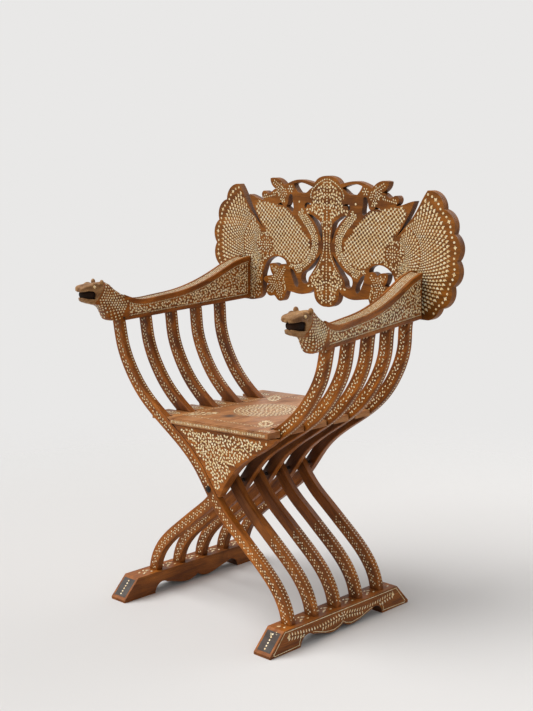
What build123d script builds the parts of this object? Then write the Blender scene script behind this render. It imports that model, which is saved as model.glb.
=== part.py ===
"""Folding savonarola armchair with bird back, bone-inlaid walnut. Millimetres, +Z up.

The front of the chair faces -Y, +X is on the right of someone who stands in front of it, and the origin is on
the floor below the middle of the chair. Frame A runs from the left arm to the right foot, frame B from the
right arm to the left foot, and the two cross on the pivot rod. The seat hinges on frame A and lies on
frame B.
"""
import os
from math import atan, cos, degrees, radians, sin, tan

from build123d import *

# ---------------------------------------------------------------- driving dimensions
# slats
slat_count = 5
slat_pitch = 75.0            # from one slat to the next of the same frame, along Y
slat_thickness = 18.0        # along Y
slat_width = 28.0            # across the curve, in the XZ plane
slat_round = 2.0             # rounding of the long edges
first_slat_y = -154.0        # front face of the first A slat
frame_offset = 37.5          # the B slats stand this much further back

# pivot
pivot_height = 305.0
pivot_rod_radius = 4.0
pivot_washer_radius = 7.5
pivot_washer_thickness = 1.6
running_clearance = 0.08     # radial, for a rod that turns in its hole

# arms
arm_reach = 313.0            # from the middle plane to the first slat's end under the arm
arm_height = 656.0           # underside of the arm at the first slat
arm_rise = 0.063             # the underside rises this much per mm towards the back
arm_convergence = 0.10       # the arms close in this much per mm towards the back
arm_thickness = 40.0
arm_front_depth = 44.0       # height of the arm's side where it is slimmest
arm_rear_depth = 106.0       # and at its rear end
arm_rear_y = 239.6
arm_tenon = 15.0
arm_slat_lean = 0.25         # the slats enter the arm leaning outwards by this slope
neck_overhang = 42.5         # the neck's foot lies this far in front of the first slat's middle
neck_lift = 5.0              # and this far above the underside
head_length = 70.5           # from the neck's foot forward to the nose
head_rise = 96.0             # from the neck's foot up to the brow
head_width = 45.0            # across the cheeks
neck_width = 35.0
nose_width = 29.0
ear_radius = 6.0
ear_tip_radius = 2.1
ear_height = 10.0
ear_spacing = 31.0
ear_place = (0.26, 0.93)     # as shares of the head's length forwards and its rise

# feet
foot_reach = 237.0           # from the middle plane to the slats' middle at the foot
foot_front_y = -227.0
foot_rear_y = 243.0
foot_width = 48.0
foot_height = 51.0
foot_end_slope = 43.0
foot_lip = 6.0
foot_tenon = 24.0
foot_pad_length = 96.0       # flat that stands on the floor at each end
foot_arch_radius = 18.0
foot_lobe_clearance = 5.0    # lobes stay this far off the floor
foot_notch_height = 16.0
foot_peg_height = 37.8

# seat
seat_hinge_x = -165.0
seat_hinge_z = 441.0
seat_tilt = 2.5              # degrees, the right side lies higher
seat_thickness = 14.0
seat_left_reach = 212.0
seat_right_reach = 188.0
seat_rear_reach = 160.0      # on the right, behind the last B slat
seat_back_y = 237.0
seat_slot_gap = 4.0          # between a slat's inner edge and the slot's end
seat_side_gap = 3.0          # between a slat's side and a finger
seat_rod_radius = 3.0
seat_rest_x = 148.0
seat_rest_flat = 0.3         # filed off the top of the rest rod under each finger
seat_rod_bite = 15.0         # how far the hinge rod is let into the first slat
rest_rod_front_gap = 2.0     # behind the apron
rest_rod_rear_gap = 6.0      # inside the board's rear edge
moulding_left_x = -123.0
moulding_right_x = 187.0
moulding_depth = 4.0
moulding_height = 11.0

# apron
apron_thickness = 18.0
apron_gap = 2.5              # beside the first A slat
apron_tip_x = 207.0          # right tip, under the seat
apron_apex_height = 293.0
apron_apex_width = 6.0       # the lowest corner is blunt
apron_block_size = 15.0
apron_block_length = 42.0
apron_block_x = (-40.0, 100.0)

# back
back_thickness = 18.0
back_front_y = 240.0
back_key_width = 22.0
back_key_neck = 16.0
back_key_depth = 12.0
back_key_height = 88.0
back_key_foot_z = 685.0
key_clearance = 0.3
key_peg_radius = 2.0
key_peg_bite = 8.0           # depth of the pegs in the keys
fan_centre = (205.0, 818.0)
fan_radius = 173.0           # to the notches between the scallops
fan_scallop_rise = 11.0
fan_scallop_angle = 20.0
fan_first_angle = 58.5       # above the horizontal
fan_scallops = 5
fan_foot_rise = 4.4          # of the flatter scallop above the foot corner

# pegs
peg_radius = 3.0
peg_length = 30.0
peg_sink = 0.4               # a peg's end lies this far below the surface

# S-curve of a slat's middle line, as shares of its reach and height from the pivot
UPPER_CURVE = [(0.128, 0.144), (0.281, 0.260), (0.495, 0.384), (0.709, 0.520),
               (0.869, 0.684), (0.962, 0.850), (1.0, 1.0)]
LOWER_CURVE = [(0.165, 0.168), (0.372, 0.311), (0.575, 0.446), (0.770, 0.582),
               (0.934, 0.750), (0.998, 0.907), (1.0, 1.0)]

SEAT_POINT = 2               # the point of the upper curve at the seat; the arms' convergence starts above it

# side view of the head, as shares of its length forwards and its rise, and of the arm's top behind it
THROAT = [(0.05, 0.10), (0.11, 0.22), (0.30, 0.40)]
MUZZLE = [(0.60, 0.50), (0.86, 0.595), (0.85, 0.625), (0.55, 0.64), (0.55, 0.665), (0.82, 0.70), (1.0, 0.79),
          (0.98, 0.865)]
CROWN = [(0.66, 0.945), (0.37, 0.955), (0.10, 0.955), (-0.12, 0.905), (-0.27, 0.80), (-0.62, 0.605),
         (-0.90, 0.52)]
ARM_SWEEP = [(0.105, 0.04), (0.26, 0.0), (0.42, 0.05), (0.59, 0.24), (0.747, 0.565), (0.877, 0.87),
             (0.957, 0.97), (1.0, 1.0)]

# right edge of the apron, as shares of the way from its lowest corner to its tip
APRON_EDGE = [(0.09, 0.19), (0.205, 0.356), (0.355, 0.52), (0.54, 0.66), (0.76, 0.80)]

# right side of the head from above, as shares of its length behind the nose and of half the nose's width or,
# further back, of half the head's
NOSE_LINE = [(-0.014, 0.70), (0.10, 1.0)]
CHEEK_LINE = [(0.40, 0.86), (0.70, 1.0)]
NECK_SHARE = 0.2             # the neck is slimmest this share of the head's length in front of its foot

# front half of a foot's underside: lobes as shares of the foot's half length and of notch or clearance
FOOT_LOBE = [(0.06, 0.5, 0.0), (0.135, 0.0, 1.0), (0.26, 0.0, 1.9)]
ARCH_CUSP = (2.2, 1.05)      # as shares of the arch's radius, inwards from the pad and above the floor
ARCH_MIDDLE = (0.9, 1.25)

# right half of the back board's outline, clockwise from the top; each row is one smooth run
BOARD_ABOVE_FAN = [
    [(0, 992), (14, 990.5), (27, 986), (40, 973)],
    [(40, 973), (67, 979), (92, 981), (118, 975), (138, 966)],
    [(138, 966), (146, 974), (158, 981), (172, 984), (186, 982)],
    [(186, 982), (183, 970), (172, 959), (168, 957)],
    [(168, 957), (180, 951), (192, 945), (200, 949), (209, 951), (215, 945), (213, 934), (205, 928)],
    [(205, 928), (229, 932), (247, 938), (260, 941)],
    [(260, 941), (257, 934), (247, 914), (234, 893), (220, 872), (207, 856)],
    [(207, 856), (218, 865), (235, 882), (255, 904), (269, 924), (279, 941), (292, 961)],
]
BOARD_BELOW_FAN = [
    [(304, 676), (262, 676)],
    [(262, 676), (255, 675.5), (243, 676.5), (233, 679), (224, 684), (216, 695), (213, 710), (214, 727),
     (213, 744), (210, 752), (202, 770), (188, 783), (169, 790), (150, 789), (133, 779), (131, 771)],
    [(131, 771), (140, 773), (150, 771), (156, 764)],
    [(156, 764), (164, 770), (176, 773), (188, 770)],
    [(188, 770), (186, 757), (178, 743)],
    [(178, 743), (192, 741), (204, 737), (209, 731), (203, 724), (193, 720)],
    [(193, 720), (198, 712), (200, 703), (196, 694), (186, 690), (176, 693)],
    [(176, 693), (168, 689), (162, 683), (152, 680), (142, 684), (136, 694), (131, 708)],
    [(131, 708), (107, 705), (80, 703), (58, 708), (44, 716), (38, 724)],
    [(38, 724), (39, 706), (34, 693), (22, 683), (0, 679)],
]
# piercings of the right half
BOARD_HOLES = [
    [[(45, 964), (66, 971), (90, 974), (108, 970)], [(108, 970), (104, 962), (98, 955), (93, 950)],
     [(93, 950), (80, 949), (68, 950), (56, 958), (45, 964)]],
    [[(112, 944), (121, 944), (125, 936), (127, 925), (134, 915)],
     [(134, 915), (122, 908), (111, 903), (108, 912), (110, 925), (111, 936), (112, 944)]],
    [[(150, 924), (142, 917)], [(142, 917), (162, 919)], [(162, 919), (150, 924)]],
    [[(50, 922), (58, 927), (67, 926), (72, 920), (70, 913), (66, 915), (64, 920), (57, 922.5), (50, 922)]],
    [[(66, 902), (56, 899), (44, 896), (34, 890), (22, 882), (16, 868), (14, 850), (15, 832)],
     [(15, 832), (20, 845), (27, 862), (38, 878), (50, 890), (66, 902)]],
    [[(18, 808), (24, 790), (38, 770), (50, 754), (58, 742), (60, 733), (68, 729), (78, 733), (82, 744),
      (78, 755), (66, 762), (50, 774), (36, 787), (24, 801), (18, 808)]],
    [[(119, 764), (109, 760), (98, 745), (91, 727), (95, 719), (102, 722), (108, 732), (115, 748),
      (119, 764)]],
]

first_slat_middle = first_slat_y + slat_thickness / 2


# ---------------------------------------------------------------- placing helpers
def slat_y(frame, index):
    """Front face of a slat."""
    start = first_slat_y + (frame_offset if frame == "b" else 0.0)
    return start + index * slat_pitch


def arm_underside(y):
    return arm_height + arm_rise * (y - first_slat_middle)


def arm_centre_x(y):
    """Distance of the arm's middle from the middle plane, at depth y."""
    return arm_reach - arm_convergence * (y - first_slat_middle)


def slab(edges, y0, y1):
    """Solid between depths y0 and y1 whose outline is a closed loop of edges in the XZ plane."""
    face = make_face(edges)
    return extrude(Pos(0, y0, 0) * face, amount=y1 - y0, dir=(0, 1, 0))


def plank(edges, x0, x1):
    """Solid between x0 and x1 whose outline is a closed loop of edges in the YZ plane."""
    face = make_face(edges)
    return extrude(Pos(x0, 0, 0) * face, amount=x1 - x0, dir=(1, 0, 0))


def loop_xz(points):
    """Closed straight-sided outline in the XZ plane."""
    return Polyline([Vector(x, 0, z) for x, z in points], close=True)


def mirror_x(shape):
    return mirror(shape, about=Plane.YZ)


def rod_along_y(x, z, radius, y0, y1):
    rod = Cylinder(radius, y1 - y0, rotation=(-90, 0, 0))
    return Pos(x, (y0 + y1) / 2, z) * rod


# ---------------------------------------------------------------- slats
def slat_line(y_middle):
    """Middle line of an A slat in the XZ plane, from inside the arm down to inside the foot."""
    rise = arm_underside(y_middle) - pivot_height
    drop = pivot_height - foot_height + foot_tenon
    lean = arm_reach - arm_centre_x(y_middle)
    seat_share = UPPER_CURVE[SEAT_POINT][1]
    end_x = -arm_centre_x(y_middle) - arm_tenon * arm_slat_lean
    points = [(end_x, arm_underside(y_middle) + arm_tenon)]
    for share_x, share_z in reversed(UPPER_CURVE):
        shift = lean * max(0.0, share_z - seat_share) / (1.0 - seat_share)
        points.append((shift - arm_reach * share_x, pivot_height + rise * share_z))
    points.append((0.0, pivot_height))
    points += [(foot_reach * share_x, pivot_height - drop * share_z) for share_x, share_z in LOWER_CURVE]
    return Spline([Vector(x, 0, z) for x, z in points])


def beside_line(line, offset, count=48):
    """Points beside the middle line; a positive offset lies on its upper right side."""
    points = []
    for step in range(count + 1):
        share = step / count
        along = line % share
        points.append(line @ share + Vector(-along.Z, 0, along.X) * offset)
    return points


def point_at_height(points, height):
    """Where a descending row of points passes a height."""
    for above, below in zip(points, points[1:]):
        if above.Z >= height >= below.Z:
            share = (above.Z - height) / (above.Z - below.Z)
            return above + (below - above) * share
    raise ValueError("the row of points doesn't pass this height")


def slat(frame, index):
    y0 = slat_y(frame, index)
    line = slat_line(y0 + slat_thickness / 2)
    inner = beside_line(line, slat_width / 2)
    outer = beside_line(line, -slat_width / 2)
    edges = [Spline(inner), Line(inner[-1], outer[-1]), Spline(outer), Line(outer[0], inner[0])]
    solid = slab(edges, y0, y0 + slat_thickness)
    long_edges = solid.edges().sort_by(SortBy.LENGTH)[-4:]
    solid = fillet(long_edges, slat_round)
    return solid if frame == "a" else mirror_x(solid)


# ---------------------------------------------------------------- arms
def arm_outline():
    """Side view of arm, neck and head; y counts from the first slat's middle."""
    length = arm_rear_y - first_slat_middle + arm_thickness * arm_convergence
    foot_z = arm_height + neck_lift

    def head_point(forward, up):
        return Vector(0, -neck_overhang - head_length * forward, foot_z + head_rise * up)

    def top_point(share, swell):
        under = arm_height + arm_rise * length * share
        return Vector(0, length * share, under + arm_front_depth + (arm_rear_depth - arm_front_depth) * swell)

    neck_foot = head_point(0, 0)
    under_front = Vector(0, -slat_thickness, arm_height - arm_rise * slat_thickness)
    under_rear = Vector(0, length, arm_height + arm_rise * length)
    throat = [neck_foot] + [head_point(*point) for point in THROAT]
    muzzle = [head_point(*point) for point in MUZZLE]
    crown = [head_point(*point) for point in CROWN]
    sweep = [top_point(*point) for point in ARM_SWEEP]
    return [
        Line(under_rear, under_front),
        Line(under_front, neck_foot),
        Spline(throat),
        Polyline([throat[-1]] + muzzle),
        Spline([muzzle[-1]] + crown + sweep),
        Line(sweep[-1], under_rear),
    ]


def arm_plan():
    """Top view of the same piece, as half widths along it."""
    length = arm_rear_y - first_slat_middle + arm_thickness
    nose_y = -neck_overhang - head_length
    side = [(nose_y + head_length * behind, nose_width / 2 * half) for behind, half in NOSE_LINE]
    side += [(nose_y + head_length * behind, head_width / 2 * half) for behind, half in CHEEK_LINE]
    side.append((-neck_overhang + head_length * NECK_SHARE, neck_width / 2))
    side.append((0.0, arm_thickness / 2))
    right = [Vector(x, y, 0) for y, x in side]
    left = [Vector(-x, y, 0) for y, x in reversed(side)]
    rear_right = Vector(arm_thickness / 2, length, 0)
    rear_left = Vector(-arm_thickness / 2, length, 0)
    return [
        Spline(right),
        Polyline([right[-1], rear_right, rear_left, left[0]]),
        Spline(left),
        Line(left[-1], right[0]),
    ]


def arm_blank():
    """Left arm with its head, before the joints are cut."""
    block = plank(arm_outline(), -head_width, head_width)
    plan = extrude(Pos(0, 0, pivot_height) * make_face(arm_plan()), amount=2 * arm_height, dir=(0, 0, 1))
    local = block & plan
    ear_y = -neck_overhang - head_length * ear_place[0]
    ear_z = arm_height + neck_lift + head_rise * ear_place[1]
    for side in (-1, 1):
        ear = Cone(ear_radius, ear_tip_radius, ear_height, align=(Align.CENTER, Align.CENTER, Align.MIN))
        local += Pos(side * ear_spacing / 2, ear_y, ear_z) * ear
    turn = degrees(atan(arm_convergence))
    placed = Pos(-arm_reach, first_slat_middle, 0) * Rot(0, 0, -turn) * local
    behind = Pos(-arm_reach, arm_rear_y, arm_height) * Box(
        arm_reach, arm_thickness, arm_height, align=(Align.CENTER, Align.MIN, Align.CENTER))
    return placed - behind


def key_section(grow, open_side=0.0):
    """Dovetail in the XY plane, wide end to the front; one side may run open outwards."""
    front_y = back_front_y - back_key_depth - grow
    rear_y = back_front_y + grow
    wide = back_key_width / 2 + grow
    slim = back_key_neck / 2 + grow
    return Polyline([
        Vector(-wide, front_y, 0), Vector(wide + open_side, front_y, 0),
        Vector(slim + open_side, rear_y, 0), Vector(-slim, rear_y, 0)], close=True)


def upright(section, x, z0, z1):
    return extrude(Pos(x, 0, z0) * make_face(section), amount=z1 - z0, dir=(0, 0, 1))


def key_x():
    return arm_centre_x(arm_rear_y)


def arm(frame, slats, pegs):
    blank = arm_blank()
    if frame == "a":
        groove = upright(key_section(key_clearance), -key_x(), back_key_foot_z, 2 * arm_height)
    else:
        blank = mirror_x(blank)
        groove = upright(key_section(key_clearance, arm_thickness), key_x(), pivot_height, 2 * arm_height)
    for cutter in [groove] + slats + pegs:
        blank -= cutter
    return blank


def arm_pegs(frame):
    """One peg for each slat's tenon, driven in from the arm's inner side."""
    pegs = []
    for index in range(slat_count):
        y = slat_y(frame, index) + slat_thickness / 2
        z = arm_underside(y) + arm_tenon * 0.5
        inner_x = -arm_centre_x(y) + arm_thickness / 2
        peg = Pos(inner_x - peg_sink, y, z) * Cylinder(
            peg_radius, peg_length, rotation=(0, -90, 0), align=(Align.CENTER, Align.CENTER, Align.MIN))
        pegs.append(peg if frame == "a" else mirror_x(peg))
    return pegs


# ---------------------------------------------------------------- feet
def foot_outline():
    middle = (foot_front_y + foot_rear_y) / 2
    half = (foot_rear_y - foot_front_y) / 2
    pad = half - foot_pad_length

    def half_underside(side):
        def at(distance, z):
            return Vector(0, middle + side * distance, z)

        def on_arch(inwards, up):
            return at(pad - foot_arch_radius * inwards, foot_arch_radius * up)

        cusp = on_arch(*ARCH_CUSP)
        lobe = [at(0, foot_notch_height)]
        for along, notch, clear in FOOT_LOBE:
            lobe.append(at(half * along, foot_notch_height * notch + foot_lobe_clearance * clear))
        return [Spline(lobe + [cusp]), ThreePointArc(cusp, on_arch(*ARCH_MIDDLE), at(pad, 0))]

    front_pad = [Vector(0, middle - pad, 0), Vector(0, foot_front_y, 0), Vector(0, foot_front_y, foot_lip),
                 Vector(0, foot_front_y + foot_end_slope, foot_height)]
    rear_pad = [Vector(0, foot_rear_y - foot_end_slope, foot_height), Vector(0, foot_rear_y, foot_lip),
                Vector(0, foot_rear_y, 0), Vector(0, middle + pad, 0)]
    return half_underside(-1) + [Polyline(front_pad + rear_pad)] + half_underside(1)


def foot(frame, slats, pegs):
    solid = plank(foot_outline(), foot_reach - foot_width / 2, foot_reach + foot_width / 2)
    if frame == "b":
        solid = mirror_x(solid)
    for cutter in slats + pegs:
        solid -= cutter
    return solid


def foot_pegs(frame):
    pegs = []
    for index in range(slat_count):
        y = slat_y(frame, index) + slat_thickness / 2
        peg = Pos(foot_reach - foot_width / 2 + peg_sink, y, foot_peg_height) * Cylinder(
            peg_radius, peg_length, rotation=(0, 90, 0), align=(Align.CENTER, Align.CENTER, Align.MIN))
        pegs.append(peg if frame == "a" else mirror_x(peg))
    return pegs


# ---------------------------------------------------------------- rods and washers
def pivot_washer(y0):
    return rod_along_y(0, pivot_height, pivot_washer_radius, y0, y0 + pivot_washer_thickness)


def pivot_rod_ends():
    """Front and rear end of the rod, each standing one washer thickness proud of its washer."""
    front = first_slat_y - 2 * pivot_washer_thickness
    rear = slat_y("b", slat_count - 1) + slat_thickness + 2 * pivot_washer_thickness
    return front, rear


def pivot_rod(radius):
    return rod_along_y(0, pivot_height, radius, *pivot_rod_ends())


def seat_hinge_rod(radius):
    front = first_slat_y + slat_thickness - seat_rod_bite
    rear = slat_y("a", slat_count - 1) + slat_thickness
    return rod_along_y(seat_hinge_x, seat_hinge_z, radius, front, rear)


def seat_rest_rod():
    """Plain rod just under the tilted board; its centre lies slightly high, for the flats filed on it."""
    drop = seat_thickness / 2 + seat_rod_radius - seat_rest_flat
    height = seat_height(seat_rest_x) - drop / cos(radians(seat_tilt))
    front = first_slat_y + apron_thickness + rest_rod_front_gap
    return rod_along_y(seat_rest_x, height, seat_rod_radius, front, seat_back_y - rest_rod_rear_gap)


# ---------------------------------------------------------------- seat
def seat_height(x):
    """Height of the board's middle plane above a point."""
    return seat_hinge_z + (x - seat_hinge_x) * tan(radians(seat_tilt))


def seat_along(x):
    """Distance of a point from the hinge, measured along the tilted board."""
    return (x - seat_hinge_x) / cos(radians(seat_tilt))


def seat_box(x0, x1, y0, y1, z0, z1):
    """Box in the board's own tilted frame; z counts from the board's middle plane."""
    block = Pos(seat_along(x0), y0, z0) * Box(
        seat_along(x1) - seat_along(x0), y1 - y0, z1 - z0, align=(Align.MIN, Align.MIN, Align.MIN))
    return Pos(seat_hinge_x, 0, seat_hinge_z) * Rot(0, -seat_tilt, 0) * block


def seat_slot(frame, index):
    """Room for one slat, open towards the side edge; its end runs parallel to the slat's inner edge."""
    y0 = slat_y(frame, index)
    line = slat_line(y0 + slat_thickness / 2)
    edge = beside_line(line, slat_width / 2 + seat_slot_gap)
    side = 1 if frame == "b" else -1
    end_z = seat_height(side * seat_rest_x)
    low = point_at_height(edge, end_z - 1.5 * seat_thickness)
    high = point_at_height(edge, end_z + 1.5 * seat_thickness)
    outline = loop_xz([(-arm_reach, low.Z), (low.X, low.Z), (high.X, high.Z), (-arm_reach, high.Z)])
    slot = slab(outline, y0 - seat_side_gap, y0 + slat_thickness + seat_side_gap)
    return mirror_x(slot) if frame == "b" else slot


def seat_board():
    half = seat_thickness / 2
    board = seat_box(-seat_left_reach, seat_right_reach, first_slat_y, seat_back_y, -half, half)
    for frame in "ab":
        for index in range(slat_count):
            board -= seat_slot(frame, index)
    behind_y = slat_y("b", slat_count - 1) + slat_thickness
    board -= seat_box(seat_rear_reach, arm_reach, behind_y, 2 * seat_back_y, -seat_thickness, seat_thickness)
    return board - seat_hinge_rod(seat_rod_radius + running_clearance)


def seat_front_moulding():
    half = moulding_height / 2
    front = first_slat_y - moulding_depth
    return seat_box(moulding_left_x, moulding_right_x, front, first_slat_y, -half, half)


def seat_apron():
    """Three-cornered panel below the seat's front edge, beside the first A slat."""
    under = seat_thickness / 2 / cos(radians(seat_tilt))
    edge = beside_line(slat_line(first_slat_middle), slat_width / 2 + apron_gap)
    left_points = [p for p in edge if apron_apex_height < p.Z < seat_height(p.X) - under]
    apex = point_at_height(edge, apron_apex_height)
    blunt = apex + Vector(apron_apex_width, 0, 0)
    tip = Vector(apron_tip_x, 0, seat_height(apron_tip_x) - under)
    top_left = Vector(left_points[0].X, 0, seat_height(left_points[0].X) - under)
    reach = tip - blunt
    right_points = [blunt + Vector(reach.X * along, 0, reach.Z * up) for along, up in APRON_EDGE]
    edges = [
        Spline([blunt] + right_points + [tip]),
        Line(tip, top_left),
        Spline([top_left] + left_points[1:] + [apex]),
        Line(apex, blunt),
    ]
    return slab(edges, first_slat_y, first_slat_y + apron_thickness)


def apron_blocks():
    """Glue blocks in the corner behind the apron, under the board."""
    blocks = []
    for x in apron_block_x:
        front = first_slat_y + apron_thickness
        under = -seat_thickness / 2
        blocks.append(seat_box(
            x - apron_block_length / 2, x + apron_block_length / 2,
            front, front + apron_block_size, under - apron_block_size, under))
    return blocks


# ---------------------------------------------------------------- back
def smooth_runs(runs):
    """Edges through rows of (x, z) points; a row of two points is a straight line."""
    edges = []
    for run in runs:
        points = [Vector(x, 0, z) for x, z in run]
        edges.append(Line(*points) if len(points) == 2 else Spline(points))
    return edges


def fan_point(radius, angle):
    x, z = fan_centre
    return Vector(x + radius * cos(radians(angle)), 0, z + radius * sin(radians(angle)))


def fan_rim():
    """Scalloped outer edge of the fan, from its upper tip down to the foot of the board."""
    edges = []
    start = Vector(BOARD_ABOVE_FAN[-1][-1][0], 0, BOARD_ABOVE_FAN[-1][-1][1])
    notch = fan_point(fan_radius, fan_first_angle)
    edges.append(Line(start, notch))
    for scallop in range(fan_scallops):
        angle = fan_first_angle - scallop * fan_scallop_angle
        crest = fan_point(fan_radius + fan_scallop_rise, angle - fan_scallop_angle / 2)
        following = fan_point(fan_radius, angle - fan_scallop_angle)
        edges.append(ThreePointArc(notch, crest, following))
        notch = following
    foot_corner = Vector(BOARD_BELOW_FAN[0][0][0], 0, BOARD_BELOW_FAN[0][0][1])
    last_angle = fan_first_angle - (fan_scallops + 0.3) * fan_scallop_angle
    crest = fan_point(fan_radius + fan_foot_rise, last_angle)
    edges.append(ThreePointArc(notch, crest, foot_corner))
    return edges


def back_board(pegs):
    top = Vector(0, 0, BOARD_ABOVE_FAN[0][0][1])
    bottom = Vector(0, 0, BOARD_BELOW_FAN[-1][-1][1])
    edges = smooth_runs(BOARD_ABOVE_FAN) + fan_rim() + smooth_runs(BOARD_BELOW_FAN)
    edges.append(Line(bottom, top))
    half = slab(edges, back_front_y, back_front_y + back_thickness)
    for hole in BOARD_HOLES:
        half -= slab(smooth_runs(hole), back_front_y - 1.0, back_front_y + back_thickness + 1.0)
    board = half + mirror_x(half)
    for peg in pegs:
        board -= peg
    return board


def back_key(side, pegs):
    key = upright(key_section(0.0), side * key_x(), back_key_foot_z, back_key_foot_z + back_key_height)
    for peg in pegs:
        key -= peg
    return key


def key_pegs(side):
    pegs = []
    for share in (0.2, 0.8):
        z = back_key_foot_z + back_key_height * share
        pegs.append(rod_along_y(
            side * key_x(), z, key_peg_radius, back_front_y - key_peg_bite, back_front_y + back_thickness))
    return pegs


# ---------------------------------------------------------------- the whole chair
def all_parts():
    slats = {frame: [slat(frame, index) for index in range(slat_count)] for frame in "ab"}
    in_arms = {frame: arm_pegs(frame) for frame in "ab"}
    in_feet = {frame: foot_pegs(frame) for frame in "ab"}
    behind_keys = {side: key_pegs(side) for side in (-1, 1)}
    board = seat_board()
    rest_rod = seat_rest_rod()
    parts = {
        "arm_left": arm("a", slats["a"], in_arms["a"]),
        "arm_right": arm("b", slats["b"], in_arms["b"]),
        "foot_right": foot("a", slats["a"], in_feet["a"]),
        "foot_left": foot("b", slats["b"], in_feet["b"]),
        "arm_pegs_left": Compound(in_arms["a"]),
        "arm_pegs_right": Compound(in_arms["b"]),
        "foot_pegs_right": Compound(in_feet["a"]),
        "foot_pegs_left": Compound(in_feet["b"]),
        "pivot_rod": pivot_rod(pivot_rod_radius),
        "seat_hinge_rod": seat_hinge_rod(seat_rod_radius),
        "seat_rest_rod": rest_rod - board,
        "seat_board": board,
        "seat_front_moulding": seat_front_moulding(),
        "seat_apron": seat_apron(),
        "apron_blocks": Compound(apron_blocks()),
        "back_board": back_board(behind_keys[-1] + behind_keys[1]),
        "back_key_left": back_key(-1, behind_keys[-1]),
        "back_key_right": back_key(1, behind_keys[1]),
        "back_key_pegs": Compound(behind_keys[-1] + behind_keys[1]),
    }
    _, rod_rear = pivot_rod_ends()
    washer_fronts = (first_slat_y - pivot_washer_thickness, rod_rear - 2 * pivot_washer_thickness)
    parts["pivot_washers"] = Compound([pivot_washer(y) - parts["pivot_rod"] for y in washer_fronts])
    cuts = {
        "a": [pivot_rod(pivot_rod_radius), seat_hinge_rod(seat_rod_radius)],
        "b": [pivot_rod(pivot_rod_radius + running_clearance), rest_rod],
    }
    for frame in "ab":
        for index, blank in enumerate(slats[frame]):
            for cutter in cuts[frame] + [in_arms[frame][index], in_feet[frame][index]]:
                blank -= cutter
            parts[f"slat_{frame}{index + 1}"] = blank
    return parts


os.makedirs("parts", exist_ok=True)
for name, shape in all_parts().items():
    export_step(shape, f"parts/{name}.step")
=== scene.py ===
"""Savonarola armchair: finishes, bone inlay, carved heads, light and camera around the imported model."""
import bisect
import math
import random

import bmesh
import bpy
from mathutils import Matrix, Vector, noise
from mathutils.bvhtree import BVHTree


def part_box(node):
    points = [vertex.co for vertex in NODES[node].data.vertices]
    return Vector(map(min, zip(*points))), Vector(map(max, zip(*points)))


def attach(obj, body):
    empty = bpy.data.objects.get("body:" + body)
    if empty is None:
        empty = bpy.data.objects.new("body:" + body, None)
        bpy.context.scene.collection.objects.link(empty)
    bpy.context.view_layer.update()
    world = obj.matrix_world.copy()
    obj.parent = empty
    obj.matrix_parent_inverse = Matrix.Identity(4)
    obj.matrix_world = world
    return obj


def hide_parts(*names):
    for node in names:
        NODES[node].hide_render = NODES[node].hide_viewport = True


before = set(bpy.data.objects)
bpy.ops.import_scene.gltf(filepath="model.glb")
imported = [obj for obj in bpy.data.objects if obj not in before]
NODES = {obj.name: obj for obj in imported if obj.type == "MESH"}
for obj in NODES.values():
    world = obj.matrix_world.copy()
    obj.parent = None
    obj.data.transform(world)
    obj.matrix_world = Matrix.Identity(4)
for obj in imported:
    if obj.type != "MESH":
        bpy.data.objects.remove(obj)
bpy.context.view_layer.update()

MM = 0.001
SLATS = 5
X, Y, Z = Vector((1, 0, 0)), Vector((0, 1, 0)), Vector((0, 0, 1))


def corners(node):
    """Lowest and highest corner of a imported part's box, in mm."""
    return [[value / MM for value in corner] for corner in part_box(node)]


def centre(node):
    """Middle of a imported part's box, in mm."""
    return [(low + high) / 2 for low, high in zip(*corners(node))]


def polar(turn, radius=1.0):
    """The point of a circle at a turn, which for a radius of 1 is the turn's cosine and sine."""
    return radius * math.cos(turn), radius * math.sin(turn)


# ---------------------------------------------------------------- sizes, in mm, from the frame
BOARD_FRONT = corners("back_board")[0][1]
ARM_REAR = corners("arm_left")[1][1]
FOOT_TOP = corners("foot_left")[1][2]
FOOT_WIDTH = corners("foot_left")[1][0] - corners("foot_left")[0][0]
SEAT_LOW, SEAT_HIGH = corners("seat_board")
FIRST_SLAT = centre("slat_a1")[1]
SLAT_PITCH = centre("slat_a2")[1] - FIRST_SLAT
ARM_REACH = 313.0                # from the middle plane to the arm's middle at the first slat
ARM_CLOSING = math.atan(0.10)    # the arms close in towards the back by this angle
ARM_FRONT = 5.0                  # the neck begins here, so far behind the first slat's middle
ARM_LENGTH = (ARM_REAR - FIRST_SLAT) / math.cos(ARM_CLOSING)
PIVOT = centre("pivot_rod")[2]
SEAT_TILT = math.radians(2.5)
TENON = 15.0                     # the slats reach this far into the arms
STAND_OFF = 20.0                 # a line of sight starts this far outside the part that it looks at

# inlay: bone chips set in dark mastic
CHIP_PROUD = 0.22                # a chip's face stands this far above the wood
CHIP_ROOT = 0.15                 # its mastic reaches this far into the wood
MASTIC_RIM = 0.8                 # width of the mastic line round a chip
TRIES = 14                       # places tried for each chip of dense leafwork


# ---------------------------------------------------------------- materials
def colour(code):
    """An sRGB hex colour such as "8a5a2c" as linear RGBA."""
    channels = [int(code[i:i + 2], 16) / 255 for i in (0, 2, 4)]
    linear = [c / 12.92 if c <= 0.04045 else ((c + 0.055) / 1.055) ** 2.4 for c in channels]
    return (*linear, 1.0)


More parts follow.
